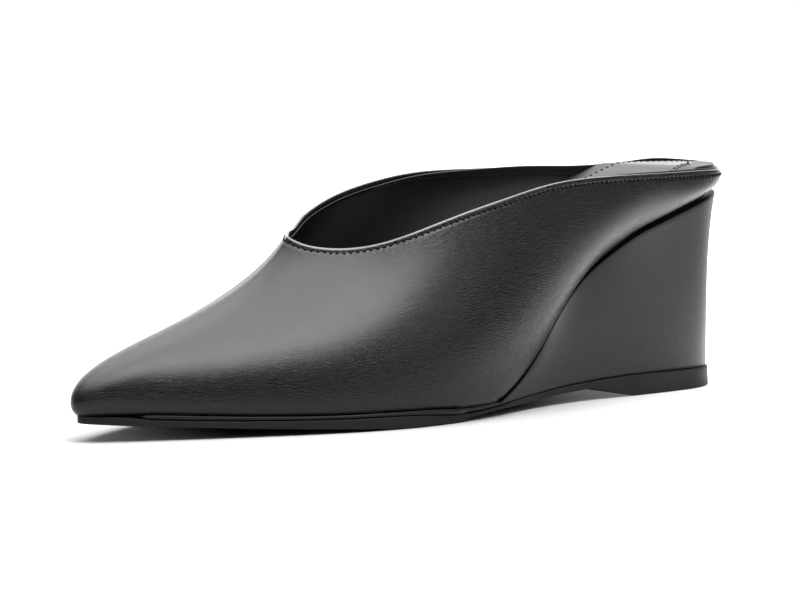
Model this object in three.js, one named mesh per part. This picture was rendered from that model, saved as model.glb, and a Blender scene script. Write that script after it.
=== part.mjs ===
// Pointed wedge mule, left foot. Millimetres, +Z up, toe at -Y, outer side of the foot at +X.
import * as THREE from 'three';

// Driving sizes
const LENGTH = 248; // heel back to toe, along the foot
const BALL = 40; // half width that the plan shares are taken from
const TOP = 70; // collar height that the height shares are taken from
const WALL = 1.8; // upper with its lining
const RIM = 0.5; // height of the rounded collar edge
const GAP = 0.3; // between pieces that are glued or stitched
const LIFT = 5.7; // outsole thickness under the heel

// The upper: one row a section, from the middle of the heel to the tip of the toe.
// fx fy foot edge, tx ty tz collar edge, then the bend between them: up and out at the
// foot edge, drop, swell and ahead at the collar. x by BALL, y by LENGTH, the rest by TOP.
const UNIT = [BALL, LENGTH, BALL, LENGTH, TOP, TOP, TOP, TOP, TOP, TOP];
const MIRROR = [-1, 1, -1, 1, 1, 1, 1, 1, -1, 1]; // of a row, for the inner side
const OUTER = [
  [0.000, 0.012, 0.000, -0.004, 0.978, 0.026, 0.020, 0.031, 0.000, -0.009],
  [0.205, 0.017, 0.215, 0.005, 0.969, 0.026, 0.020, 0.031, 0.003, -0.009],
  [0.370, 0.037, 0.382, 0.026, 0.968, 0.029, 0.026, 0.031, 0.006, -0.006],
  [0.510, 0.069, 0.545, 0.056, 0.974, 0.034, 0.037, 0.034, 0.009, 0.000],
  [0.570, 0.121, 0.650, 0.121, 0.979, 0.046, 0.060, 0.046, 0.009, 0.000],
  [0.590, 0.194, 0.715, 0.194, 0.984, 0.066, 0.077, 0.071, 0.014, 0.000],
  [0.570, 0.274, 0.750, 0.282, 0.987, 0.100, 0.150, 0.129, 0.018, 0.000],
  [0.680, 0.355, 0.795, 0.367, 0.973, 0.165, 0.135, 0.214, 0.030, 0.000],
  [0.850, 0.435, 0.805, 0.440, 0.927, 0.270, 0.095, 0.286, 0.050, 0.000],
  [0.980, 0.524, 0.750, 0.506, 0.870, 0.320, 0.060, 0.271, 0.100, 0.029],
  [0.985, 0.613, 0.630, 0.565, 0.800, 0.329, 0.034, 0.257, 0.136, 0.071],
  [0.875, 0.702, 0.480, 0.603, 0.754, 0.307, 0.037, 0.257, 0.121, 0.129],
  [0.680, 0.786, 0.330, 0.632, 0.737, 0.289, 0.043, 0.271, 0.100, 0.186],
  [0.460, 0.867, 0.200, 0.654, 0.741, 0.271, 0.051, 0.300, 0.071, 0.229],
  [0.250, 0.940, 0.095, 0.669, 0.757, 0.267, 0.069, 0.336, 0.037, 0.250],
  [0.000, 0.992, -0.015, 0.675, 0.780, 0.270, 0.120, 0.374, 0.000, 0.243],
];
const INNER = [
  [0.000, 0.012, 0.000, -0.004, 0.978, 0.026, 0.020, 0.031, 0.000, -0.009],
  [0.205, 0.017, 0.215, 0.005, 0.984, 0.026, 0.020, 0.031, 0.003, -0.009],
  [0.370, 0.037, 0.390, 0.025, 0.986, 0.029, 0.026, 0.031, 0.006, -0.006],
  [0.510, 0.069, 0.545, 0.056, 0.972, 0.034, 0.037, 0.034, 0.009, 0.000],
  [0.560, 0.121, 0.650, 0.121, 0.961, 0.046, 0.060, 0.046, 0.009, 0.000],
  [0.560, 0.194, 0.715, 0.194, 0.971, 0.066, 0.077, 0.071, 0.014, 0.000],
  [0.510, 0.274, 0.760, 0.282, 0.978, 0.109, 0.100, 0.129, 0.031, 0.000],
  [0.550, 0.355, 0.825, 0.367, 0.976, 0.186, 0.086, 0.214, 0.051, 0.000],
  [0.685, 0.435, 0.835, 0.440, 0.945, 0.300, 0.057, 0.286, 0.071, 0.000],
  [0.835, 0.524, 0.765, 0.508, 0.902, 0.343, 0.040, 0.286, 0.100, 0.029],
  [0.905, 0.613, 0.650, 0.565, 0.846, 0.334, 0.034, 0.286, 0.107, 0.071],
  [0.870, 0.702, 0.495, 0.601, 0.812, 0.317, 0.037, 0.297, 0.093, 0.129],
  [0.710, 0.786, 0.340, 0.629, 0.795, 0.303, 0.043, 0.309, 0.071, 0.186],
  [0.490, 0.867, 0.215, 0.651, 0.794, 0.321, 0.051, 0.343, 0.049, 0.229],
  [0.265, 0.940, 0.110, 0.666, 0.786, 0.300, 0.069, 0.370, 0.026, 0.250],
  [0.000, 0.992, -0.015, 0.675, 0.780, 0.270, 0.120, 0.374, 0.000, 0.243],
];

// Plan of the outsole: ox outer side, ix inner side by BALL, y by LENGTH, on the same rows
const SOLE = [
  [0.000, 0.000, 0.025], [0.190, 0.190, 0.028], [0.345, 0.345, 0.042], [0.475, 0.475, 0.071],
  [0.540, 0.530, 0.121], [0.560, 0.530, 0.194], [0.580, 0.510, 0.274], [0.650, 0.540, 0.355],
  [0.795, 0.665, 0.435], [0.940, 0.815, 0.524], [0.980, 0.900, 0.613], [0.875, 0.870, 0.702],
  [0.680, 0.710, 0.786], [0.465, 0.495, 0.867], [0.252, 0.265, 0.938], [0.000, 0.000, 0.986],
];

// Side profiles: distance from the heel by LENGTH, height by TOP
const EDGE = [
  [-0.010, 0.912], [0.020, 0.899], [0.040, 0.890], [0.065, 0.876], [0.097, 0.846], [0.145, 0.796],
  [0.194, 0.740], [0.234, 0.669], [0.274, 0.584], [0.310, 0.489], [0.347, 0.369], [0.383, 0.246],
  [0.419, 0.154], [0.448, 0.099], [0.464, 0.076], [0.484, 0.069], [0.532, 0.068], [0.590, 0.076],
  [0.632, 0.078], [0.706, 0.080], [0.800, 0.090], [0.867, 0.102], [0.919, 0.112], [1, 0.114],
];
const SEAT = [
  [-0.01, 0.980], [0.09, 0.980], [0.113, 0.957], [0.137, 0.924], [0.165, 0.889], [0.20, 0.836],
  [0.242, 0.754], [0.274, 0.680], [0.310, 0.580], [0.347, 0.469], [0.383, 0.351], [0.419, 0.259],
  [0.452, 0.193], [0.484, 0.154], [0.524, 0.131], [0.605, 0.129], [0.706, 0.136], [0.827, 0.150],
  [0.919, 0.160], [1.000, 0.160],
];
const PAD = [ // insole above its seat, by TOP
  [-0.01, 0.015], [0.05, 0.015], [0.13, 0.013], [0.25, 0.006], [0.40, 0], [1.00, 0],
];
// Side profiles of the outsole: distance from the heel by LENGTH, height by LIFT
const SOLE_TOP = [
  [-0.010, 1], [0.030, 1.020], [0.077, 1.080], [0.119, 1.130], [0.155, 1.145], [0.206, 1.135],
  [0.241, 1.100], [0.276, 1.035], [0.312, 0.960], [0.351, 0.850], [0.392, 0.750], [0.426, 0.660],
  [0.455, 0.560], [0.487, 0.470], [0.519, 0.430], [0.545, 0.460], [0.588, 0.590], [0.632, 0.660],
  [0.700, 0.700], [0.760, 0.760], [0.827, 0.860], [0.919, 1.090], [0.944, 1.250], [0.968, 1.316],
  [1, 1.368],
];
const SOLE_LOW = [
  [-0.010, 0], [0.195, 0], [0.224, 0.280], [0.250, 0.500], [0.274, 0.645], [0.294, 0.625],
  [0.351, 0.500], [0.392, 0.420], [0.437, 0.360], [0.487, 0.270], [0.519, 0.160], [0.552, 0],
  [0.612, 0], [0.660, 0.100], [0.726, 0.250], [0.827, 0.491], [0.919, 0.737], [0.968, 0.895],
  [1, 0.982],
];

// Curves
// Smooth through the knots and flat where two heights are equal
function curve(knots, scale) {
  const x = knots.map((k) => k[0] * LENGTH);
  const y = knots.map((k) => k[1] * scale);
  const n = x.length;
  const h = [];
  const d = [];
  const m = new Array(n).fill(0);
  for (let i = 0; i < n - 1; i++) {
    h.push(x[i + 1] - x[i]);
    d.push((y[i + 1] - y[i]) / h[i]);
  }
  for (let i = 1; i < n - 1; i++) {
    const a = 2 * h[i] + h[i - 1];
    const b = h[i] + 2 * h[i - 1];
    if (d[i - 1] * d[i] > 0) m[i] = (a + b) / (a / d[i - 1] + b / d[i]);
  }
  m[0] = d[0];
  m[n - 1] = d[n - 2];
  return (q) => {
    let i = 0;
    while (i < n - 2 && q > x[i + 1]) i++;
    const t = Math.min(1, Math.max(0, (q - x[i]) / h[i]));
    return y[i] * (1 + 2 * t) * (1 - t) ** 2 + h[i] * m[i] * t * (1 - t) ** 2
      + y[i + 1] * t * t * (3 - 2 * t) + h[i] * m[i + 1] * t * t * (t - 1);
  };
}

// Closed cubic through all rows, with even curvature, spaced by the root of the chords
function ring(points, rows) {
  const n = rows.length;
  const w = rows[0].length;
  const h = points.map((p, i) => {
    const q = points[(i + 1) % n];
    return Math.sqrt(Math.hypot(...p.map((v, c) => q[c] - v)));
  });
  const A = rows.map(() => new Array(n + w).fill(0));
  for (let i = 0; i < n; i++) {
    const prev = (i + n - 1) % n;
    const next = (i + 1) % n;
    A[i][prev] += h[prev];
    A[i][i] += 2 * (h[prev] + h[i]);
    A[i][next] += h[i];
    for (let c = 0; c < w; c++) {
      const ahead = (rows[next][c] - rows[i][c]) / h[i];
      A[i][n + c] = 6 * (ahead - (rows[i][c] - rows[prev][c]) / h[prev]);
    }
  }
  for (let i = 0; i < n; i++) {
    let best = i;
    for (let r = i; r < n; r++) {
      if (Math.abs(A[r][i]) > Math.abs(A[best][i])) best = r;
    }
    [A[i], A[best]] = [A[best], A[i]];
    for (let r = 0; r < n; r++) {
      const f = r === i ? 0 : A[r][i] / A[i][i];
      for (let c = i; c < n + w && f !== 0; c++) A[r][c] -= f * A[i][c];
    }
  }
  const M = A.map((r, i) => r.slice(n).map((v) => v / r[i]));
  return (place) => {
    const p = ((place % n) + n) % n;
    const i = Math.min(Math.floor(p + 1e-9), n - 1);
    const j = (i + 1) % n;
    const u = Math.max(0, p - i) * h[i];
    return rows[i].map((y, c) => y
      + u * ((rows[j][c] - y) / h[i] - h[i] * (2 * M[i][c] + M[j][c]) / 6)
      + u * u * M[i][c] / 2 + u ** 3 * (M[j][c] - M[i][c]) / (6 * h[i]));
  };
}

const edge = curve(EDGE, TOP);
const seat = curve(SEAT, TOP);
const pad = curve(PAD, TOP);
const soleTop = curve(SOLE_TOP, LIFT);
const soleLow = curve(SOLE_LOW, LIFT);

// Closed rings round the shoe: outer side from heel to toe, inner side back to the heel
const LAST = OUTER.length - 1;
const scaled = (row) => row.map((v, c) => v * UNIT[c]);
const loop = [
  ...OUTER.map(scaled),
  ...INNER.slice(1, LAST).reverse().map((r) => scaled(r).map((v, c) => v * MIRROR[c])),
];
const AROUND = loop.length;
const footRing = ring(loop.map((r) => [r[0], r[1], edge(r[1])]), loop);
const solePlan = [
  ...SOLE.map((r) => [r[0] * BALL, r[2] * LENGTH]),
  ...SOLE.slice(1, LAST).reverse().map((r) => [-r[1] * BALL, r[2] * LENGTH]),
];
const soleRing = ring(solePlan, solePlan);

// Places along the shoe are counted in rows from the heel; side is 1 outer, -1 inner
const STEPS = [2, 3, 3, 3, 3, 3, 4, 4, 4, 3, 3, 3, 3, 3, 5]; // stations in each stretch
const SLOPE_STEP = 0.02; // rows to each side, for a direction
const stations = STEPS.flatMap((n, j) => Array.from({ length: n }, (_, s) => j + s / n));
stations.push(LAST);
const onRing = (side, q) => (side > 0 ? q : AROUND - q);
const at = (fn, side, q) => fn(onRing(side, q));
function planNormal(fn, side, q) {
  const p = onRing(side, q);
  const a = fn(p - SLOPE_STEP);
  const b = fn(p + SLOPE_STEP);
  const l = Math.hypot(b[0] - a[0], b[1] - a[1]);
  return [(b[1] - a[1]) / l, (a[0] - b[0]) / l];
}
// Place of a given distance from the heel
function rowAt(y) {
  let low = 1;
  let high = LAST;
  for (let i = 0; i < 50; i++) {
    const q = (low + high) / 2;
    if (at(footRing, 1, q)[1] < y) low = q;
    else high = q;
  }
  return (low + high) / 2;
}

// Vectors
const sub = (a, b) => a.map((v, i) => v - b[i]);
const unit = (a) => a.map((v) => v / Math.hypot(...a));
const mix = (a, b, t) => a.map((v, i) => v * (1 - t) + b[i] * t);
const along = (a, v, d) => a.map((x, i) => x + v[i] * d);
function cross(a, b) {
  return [a[1] * b[2] - a[2] * b[1], a[2] * b[0] - a[0] * b[2], a[0] * b[1] - a[1] * b[0]];
}

// Solids
function toMesh(name, points, faces, material) {
  const seen = new Map();
  const pos = [];
  const merged = points.map((p) => {
    const key = p.map((v) => Math.round(v * 1e4)).join();
    if (!seen.has(key)) {
      seen.set(key, pos.length / 3);
      pos.push(p[0], -p[1], p[2]);
    }
    return seen.get(key);
  });
  let tri = faces.map((f) => f.map((i) => merged[i]));
  tri = tri.filter(([a, b, c]) => a !== b && b !== c && a !== c);
  let volume = 0;
  for (const f of tri) {
    const [a, b, c] = f.map((i) => pos.slice(3 * i, 3 * i + 3));
    const n = cross(b, c);
    volume += a[0] * n[0] + a[1] * n[1] + a[2] * n[2];
  }
  if (volume < 0) tri = tri.map(([a, b, c]) => [a, c, b]);
  const shape = new THREE.BufferGeometry();
  shape.setAttribute('position', new THREE.Float32BufferAttribute(pos, 3));
  shape.setIndex(tri.flat());
  shape.computeVertexNormals();
  const mesh = new THREE.Mesh(shape, material);
  mesh.name = name;
  return mesh;
}
// Closed sections on a closed path
function hoop(name, rings, material) {
  const n = rings.length;
  const c = rings[0].length;
  const faces = [];
  for (let i = 0; i < n; i++) {
    for (let j = 0; j < c; j++) {
      const i2 = (i + 1) % n;
      const j2 = (j + 1) % c;
      faces.push([i * c + j, i2 * c + j, i2 * c + j2], [i * c + j, i2 * c + j2, i * c + j2]);
    }
  }
  return toMesh(name, rings.flat(), faces, material);
}
// Two side walls joined straight across. side(i, k, s): i heel to toe, k low to high, s 1 or -1;
// shares: where the top and bottom are divided across; rise lifts the points of the top
function block(name, N, K, shares, side, rise, material) {
  const M = shares.length - 1;
  const points = [];
  const faces = [];
  const id = new Map();
  const get = ([i, k, m]) => {
    const key = `${i},${k},${m}`;
    if (!id.has(key)) {
      const p = mix(side(i, k, 1), side(i, k, -1), shares[m]);
      if (k === K && m > 0 && m < M && i > 0 && i < N) p[2] = rise(p, shares[m]);
      id.set(key, points.length);
      points.push(p);
    }
    return id.get(key);
  };
  const quad = (a, b, c, d) => {
    const [p, q, r, s] = [a, b, c, d].map(get);
    faces.push([p, q, r], [p, r, s]);
  };
  for (let i = 0; i < N; i++) {
    for (let k = 0; k < K; k++) {
      quad([i, k, 0], [i, k + 1, 0], [i + 1, k + 1, 0], [i + 1, k, 0]);
      quad([i, k, M], [i + 1, k, M], [i + 1, k + 1, M], [i, k + 1, M]);
    }
    for (let m = 0; m < M; m++) {
      quad([i, 0, m], [i + 1, 0, m], [i + 1, 0, m + 1], [i, 0, m + 1]);
      quad([i, K, m], [i, K, m + 1], [i + 1, K, m + 1], [i + 1, K, m]);
    }
  }
  for (let k = 0; k < K; k++) {
    for (let m = 0; m < M; m++) {
      quad([0, k, m], [0, k, m + 1], [0, k + 1, m + 1], [0, k + 1, m]);
      quad([N, k, m], [N, k + 1, m], [N, k + 1, m + 1], [N, k, m + 1]);
    }
  }
  return toMesh(name, points, faces, material);
}
const straight = (p) => p[2];
function finish(color, roughness) {
  return new THREE.MeshStandardMaterial({ color, roughness, metalness: 0 });
}

// Upper: a wall of one thickness from the foot edge to the rounded collar
const LAYERS = 12; // steps up the wall
const TILT_STEP = 0.03; // rows to each side, for the wall's own direction
const LEVEL_SHARE = 0.16; // of the wall's height, over which its direction leaves the level
const RIM_IN = 0.22; // of the wall, each shoulder of the rounded collar edge
function rib(side, q, t) {
  const v = at(footRing, side, q);
  const n = planNormal(footRing, side, q);
  const foot = [v[0], v[1], edge(v[1])];
  const collar = [v[2], v[3], v[4]];
  const low = [foot[0] + n[0] * v[6], foot[1] + n[1] * v[6], foot[2] + v[5]];
  const high = [collar[0] + v[8], collar[1] + v[9], collar[2] - v[7]];
  return foot.map((f, i) => (1 - t) ** 3 * f + 3 * t * (1 - t) ** 2 * low[i]
    + 3 * t * t * (1 - t) * high[i] + t ** 3 * collar[i]);
}
function facing(side, q, t) {
  const step = (d) => {
    let r = q + d;
    let s = side;
    if (r < 0 || r > LAST) {
      r = r < 0 ? -r : 2 * LAST - r;
      s = -side;
    }
    return rib(s, r, t);
  };
  const across = sub(step(TILT_STEP * side), step(-TILT_STEP * side));
  const up = sub(rib(side, q, Math.min(1, t + SLOPE_STEP)), rib(side, q, Math.max(0, t - SLOPE_STEP)));
  const level = [...planNormal(footRing, side, q), 0];
  let n = unit(cross(across, up));
  if (n[0] * level[0] + n[1] * level[1] < -0.2) n = n.map((v) => -v);
  const w = Math.min(1, t / LEVEL_SHARE);
  return unit(mix(level, n, w * w * (3 - 2 * w)));
}
const walk = [
  ...stations.map((q) => [1, q]),
  ...stations.slice(1, -1).reverse().map((q) => [-1, q]),
];
const wall = walk.map(([side, q]) => {
  const heights = Array.from({ length: LAYERS + 1 }, (_, j) => j / LAYERS);
  const out = heights.map((t) => rib(side, q, t));
  return { side, q, out, dir: heights.map((t) => facing(side, q, t)) };
});
const upperRings = wall.map(({ out, dir }) => {
  const inside = out.map((p, j) => along(p, dir[j], -WALL));
  const tip = unit(sub(out[LAYERS], out[LAYERS - 1]));
  const rim = [RIM_IN, 1 - RIM_IN].map((s) => along(along(out[LAYERS], dir[LAYERS], -WALL * s), tip, RIM));
  return [...out, ...rim, ...inside.reverse()];
});
const upper = hoop('upper', upperRings, finish(0x232326, 0.38));

// Insole: its side follows the inside of the wall, its padded top stands above its edge
const SIDE_RINGS = 4;
const INSOLE_GAP = 0.5; // from the wall's facets
const PAD_SHARES = [0, 0.04, 0.2, 0.35, 0.5, 0.65, 0.8, 0.96, 1];
function insoleSide(q, side) {
  const s = q <= 0 || q >= LAST ? 1 : side;
  const { out, dir } = wall.find((r) => r.side === s && r.q === q);
  const path = out.map((p, j) => along(p, dir[j], -(WALL + INSOLE_GAP)));
  const over = path.map((p) => p[2] - seat(p[1]));
  const j = over.findIndex((v, i) => i > 0 && v >= 0);
  const top = j < 0 ? LAYERS : j - 1 + over[j - 1] / (over[j - 1] - over[j]);
  return Array.from({ length: SIDE_RINGS + 1 }, (_, k) => {
    const h = top * k / SIDE_RINGS;
    const low = Math.min(Math.floor(h), LAYERS - 1);
    return mix(path[low], path[low + 1], h - low);
  });
}
const insoleSides = stations.map((q) => ({ 1: insoleSide(q, 1), '-1': insoleSide(q, -1) }));
const insole = block('insole', stations.length - 1, SIDE_RINGS, PAD_SHARES,
  (i, k, side) => insoleSides[i][side][k], (p) => seat(p[1]) + pad(p[1]), finish(0x26262a, 0.35));

// Wedge: a waisted wall from its foot on the outsole to a rim under the upper's edge
const WEDGE_END = 114.6; // front tip, from the heel
const FOOT_INSET = 0.2; // of the wall inside the outsole
const HEEL_INSET = 0.5; // more of it at the back
const HEEL_RUN = 30; // over which that runs out
const GROOVE_BACK = 1.7; // shadow groove under the upper, at the back
const GROOVE_TIP = 0.7; // and at the front tip
const PROUD = 0.5; // rim beyond the upper's lower edge, at the back
const BEVEL = 1.9; // inward run of the rim's top
const WAIST = [0, 0.4, 0.65, 0.82, 0.93, 1]; // heights of the wall's rings
const FLARE = 3.6; // how late the wall leaves its foot's plan
const NEAR = 0.08; // stations nearer than this to a cut are left out, in rows
const wedgeTip = rowAt(WEDGE_END);
const wedgeRows = [...stations.filter((q) => q < wedgeTip - NEAR), wedgeTip];
function wedgeSide(i, k, side) {
  const q = wedgeRows[i];
  const v = at(footRing, side, q);
  const n = planNormal(footRing, side, q);
  const s = at(soleRing, side, q);
  const m = planNormal(soleRing, side, q);
  const far = Math.min(1, v[1] / WEDGE_END);
  const cut = ([x, y, z]) => [x, q === wedgeTip ? WEDGE_END : Math.min(y, WEDGE_END), z];
  if (k === WAIST.length) {
    const y = v[1] - n[1] * BEVEL;
    return cut([v[0] - n[0] * BEVEL, y, edge(Math.min(y, WEDGE_END)) - GAP]);
  }
  const inset = FOOT_INSET + HEEL_INSET * Math.max(0, 1 - v[1] / HEEL_RUN);
  const low = [s[0] - m[0] * inset, s[1] - m[1] * inset];
  const rim = [v[0] + n[0] * PROUD * (1 - far), v[1] + n[1] * PROUD * (1 - far)];
  const groove = GROOVE_BACK + (GROOVE_TIP - GROOVE_BACK) * far;
  const foot = soleTop(low[1]) + GAP;
  const z = foot + (edge(rim[1]) - GAP - groove - foot) * WAIST[k];
  return cut([...mix(low, rim, WAIST[k] ** FLARE), z]);
}
const wedge = block('wedge_heel', wedgeRows.length - 1, WAIST.length, [0, 0.25, 0.5, 0.75, 1],
  wedgeSide, straight, finish(0x2b2b2e, 0.5));

// Midsole: a thin layer in the forefoot, pulled in behind its recess next to the wedge
const MID_START = WEDGE_END + 0.4;
const MID_END = 230;
const MID_INSET = 0.2; // of its side inside the upper's edge
const RECESS = 1.6; // deeper inset next to the wedge
const RECESS_LONG = 14;
const RECESS_FADE = 5; // over which it runs out
const midFirst = rowAt(MID_START);
const midLast = rowAt(MID_END);
const midRows = [midFirst, ...stations.filter((q) => q > midFirst + NEAR && q < midLast - NEAR), midLast];
function midSide(i, k, side) {
  const q = midRows[i];
  const v = at(footRing, side, q);
  const n = planNormal(footRing, side, q);
  const deep = Math.min(1, Math.max(0, (MID_START + RECESS_LONG + RECESS_FADE - v[1]) / RECESS_FADE));
  const inset = MID_INSET + RECESS * deep;
  let y = v[1] - n[1] * inset;
  if (q === midFirst) y = MID_START;
  if (q === midLast) y = MID_END;
  return [v[0] - n[0] * inset, y, k ? edge(y) - GAP : soleTop(y) + GAP];
}
const midsole = block('midsole', midRows.length - 1, 1, [0, 0.5, 1],
  midSide, straight, finish(0x1d1d1f, 0.6));

// Outsole with its heel lift
const ROUNDING = 0.5; // of its lower edge
const NEAR_MARK = 0.12; // stations nearer than this to a bend of the profile are left out
const BENDS = [0.195, 0.274, 0.552, 0.612]; // of SOLE_LOW
const bendRows = BENDS.map((s) => rowAt(s * LENGTH));
const free = stations.filter((q) => bendRows.every((b) => Math.abs(b - q) > NEAR_MARK));
const soleRows = [...free, ...bendRows].sort((a, b) => a - b);
function soleSide(i, k, side) {
  const s = at(soleRing, side, soleRows[i]);
  const m = planNormal(soleRing, side, soleRows[i]);
  const inset = k ? 0 : ROUNDING;
  const y = s[1] - m[1] * inset;
  const low = soleLow(y);
  const high = soleTop(y);
  return [s[0] - m[0] * inset, y, [low, Math.min(low + ROUNDING, (low + high) / 2), high][k]];
}
const outsole = block('outsole', soleRows.length - 1, 2, [0, 0.5, 1],
  soleSide, straight, finish(0x1a1a1b, 0.7));

const group = new THREE.Group();
group.name = 'wedge_mule';
group.add(upper, insole, wedge, midsole, outsole);
const box = new THREE.Box3().setFromObject(group);
const mid = box.getCenter(new THREE.Vector3());
for (const m of group.children) m.geometry.translate(-mid.x, -mid.y, -box.min.z);
export default group;
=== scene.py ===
import bmesh
import bpy
import math
import numpy as np
from mathutils import Matrix, Vector


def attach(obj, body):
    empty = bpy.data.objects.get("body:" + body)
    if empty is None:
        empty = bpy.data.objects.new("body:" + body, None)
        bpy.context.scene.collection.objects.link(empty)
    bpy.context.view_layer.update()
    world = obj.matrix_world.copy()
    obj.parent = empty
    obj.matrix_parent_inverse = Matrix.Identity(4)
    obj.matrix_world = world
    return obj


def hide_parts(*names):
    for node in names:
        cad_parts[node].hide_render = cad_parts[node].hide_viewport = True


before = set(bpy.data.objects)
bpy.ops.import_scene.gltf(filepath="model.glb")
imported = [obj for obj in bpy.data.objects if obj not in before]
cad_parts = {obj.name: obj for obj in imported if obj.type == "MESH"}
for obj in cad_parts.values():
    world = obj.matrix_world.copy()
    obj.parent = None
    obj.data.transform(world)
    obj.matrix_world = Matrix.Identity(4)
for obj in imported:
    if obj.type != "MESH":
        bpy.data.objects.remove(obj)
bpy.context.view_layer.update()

# The photographer's set: a long lens, low on the outer side and turned towards the toe. White floor
# that runs out of the frame, soft lights overhead, weak ones at the side and a card behind.
SIDE_ON, HEIGHT, AWAY = math.radians(39.4), math.radians(5.6), 1.536
LENS, SENSOR, SEES = 228.0, 36, 30  # mm, mm, and the farthest that the camera sees, in metres
PX_PER_M = 3282                   # pixels of the picture to a metre at the shoe
AIM = (-0.0018, -0.0013, 0.038)   # the point of the shoe that lies near the picture's middle
OFF = (2.1 / PX_PER_M, 15.6 / PX_PER_M)  # where that point lies from the middle, in metres
ROLL = math.radians(0.24)

back = Vector((math.cos(SIDE_ON) * math.cos(HEIGHT), -math.sin(SIDE_ON) * math.cos(HEIGHT),
               math.sin(HEIGHT)))
right = Vector((math.sin(SIDE_ON), math.cos(SIDE_ON), 0))
up = back.cross(right)
right, up = right * math.cos(ROLL) - up * math.sin(ROLL), right * math.sin(ROLL) + up * math.cos(ROLL)
eye = Vector(AIM) + back * AWAY
look = (eye - (Vector(AIM) - right * OFF[0] - up * OFF[1])).normalized()
side = up.cross(look).normalized()
cam = bpy.data.objects.new("camera", bpy.data.cameras.new("camera"))
cam.data.lens, cam.data.sensor_width, cam.data.clip_end = LENS, SENSOR, SEES
turn = Matrix((side, look.cross(side), look)).transposed().to_4x4()
cam.matrix_world = Matrix.Translation(eye) @ turn
bpy.context.scene.collection.objects.link(cam)
bpy.context.scene.camera = cam
bpy.context.scene.view_settings.view_transform = "Standard"


class Wire:
    """A shader value. Plain + - * / on it add Math nodes."""

    def __init__(self, tree, sock):
        self.tree, self.sock = tree, sock

    def node(self, kind, settings=None, out=0, **ins):
        """One node of any type: settings first, then values or links on its inputs."""
        n = self.tree.nodes.new("ShaderNode" + kind)
        for key, value in (settings or {}).items():
            setattr(n, key, value)
        for key, value in ins.items():
            name = key.replace("_", " ")
            sock = n.inputs[int(key[1:])] if key[0] == "i" and key[1:].isdigit() else n.inputs[name]
            if isinstance(value, Wire):
                self.tree.links.new(value.sock, sock)
            else:
                sock.default_value = value
        return Wire(self.tree, n.outputs[out])

    def maths(self, how, *args):
        return self.node("Math", {"operation": how}, **{f"i{k}": a for k, a in enumerate(args)})

    def __add__(self, o):
        return self.maths("ADD", self, o)

    def __sub__(self, o):
        return self.maths("SUBTRACT", self, o)

    def __rsub__(self, o):
        return self.maths("SUBTRACT", o, self)

    def __mul__(self, o):
        return self.maths("MULTIPLY", self, o)

    def __rmul__(self, o):
        return self.maths("MULTIPLY", o, self)

    def __truediv__(self, o):
        return self.maths("DIVIDE", self, o)

    def __neg__(self):
        return self.maths("MULTIPLY", self, -1.0)


def new_finish(name):
    """A material with one Principled shader; returns it, the shader node and a start wire."""
    m = bpy.data.materials.new(name)
    m.use_nodes = True
    shader = next(n for n in m.node_tree.nodes if n.type == "BSDF_PRINCIPLED")
    return m, shader, Wire(m.node_tree, None)


def into(wire, shader, **ins):
    """Sets or links the shader's own sockets."""
    for key, value in ins.items():
        sock = shader.inputs[key.replace("_", " ")]
        if isinstance(value, Wire):
            wire.tree.links.new(value.sock, sock)
        else:
            sock.default_value = value


FLOOR = 9                         # metres from the middle to the floor's sides
corners = [(-FLOOR, -FLOOR, 0), (FLOOR, -FLOOR, 0), (FLOOR, FLOOR, 0), (-FLOOR, FLOOR, 0)]
floor_mesh = bpy.data.meshes.new("floor")
floor_mesh.from_pydata(corners, [], [(0, 1, 2, 3)])
floor = bpy.data.objects.new("floor", floor_mesh)
bpy.context.scene.collection.objects.link(floor)
paper, shader, w = new_finish("paper_painted_glow_and_shadow")
spot = w.node("TexCoord", out=3)


def along(x, y):
    """Distance along a level direction."""
    return w.node("VectorMath", {"operation": "DOT_PRODUCT"}, out=1, i0=spot, i1=(x, y, 0))


def ramp(value, start, end):
    """0 up to the start, 1 from the end on, smooth between them; distances in metres."""
    return w.node("MapRange", {"interpolation_type": "SMOOTHSTEP"}, Value=value,
                  From_Min=start, From_Max=end, To_Min=0.0, To_Max=1.0)


far_out = w.node("VectorMath", {"operation": "LENGTH"}, out=1, i0=spot)
behind, lateral = along(-back.x, -back.y), along(right.x, right.y)
# Painted light: parts of the floor glow by themselves, far behind the shoe, just behind the heel, and
# at toe and heel.
far_glow = ramp(behind, 0.15, 0.5) * (1.0 - ramp(w.maths("ABSOLUTE", lateral), 0.45, 0.8))
glow_behind_heel = ramp(along(0.0, 1.0), 0.115, 0.15) * (1.0 - ramp(far_out, 0.20, 0.34))
toe_glow = ramp(along(-0.2, -0.98), 0.07, 0.14) * (1.0 - ramp(far_out, 0.2, 0.4))
heel_glow = ramp(along(0.3, 0.95), 0.03, 0.09) * (1.0 - ramp(far_out, 0.2, 0.34))
# painted light: these patches add up to the paper's emission, so the floor glows though it is no lamp
# and its shadows are lightened
glow = far_glow + glow_behind_heel * 2.8 + toe_glow * 0.10 + heel_glow * 0.18
white = w.node("CombineColor", Red=glow, Green=glow, Blue=glow)
# painted shadow: the paper's colour is darker to the right of the shoe, where its shadow falls long
tone = 0.48 - 0.34 * (ramp(lateral, 0.16, 0.30) * (1.0 - ramp(behind, 0.15, 0.35)))
paper_painted_shadow = w.node("CombineColor", Red=tone, Green=tone, Blue=tone)
into(w, shader, Base_Color=paper_painted_shadow, Roughness=0.9, Specular_IOR_Level=0.1,
     Emission_Color=white, Emission_Strength=1.0)
floor.data.materials.append(paper)

world = bpy.data.worlds.new("room")
bpy.context.scene.world = world
world.use_nodes = True
sky = next(n for n in world.node_tree.nodes if n.type == "BACKGROUND")
sky.inputs["Color"].default_value = (1, 1, 1, 1)
sky.inputs["Strength"].default_value = 0.08

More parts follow.
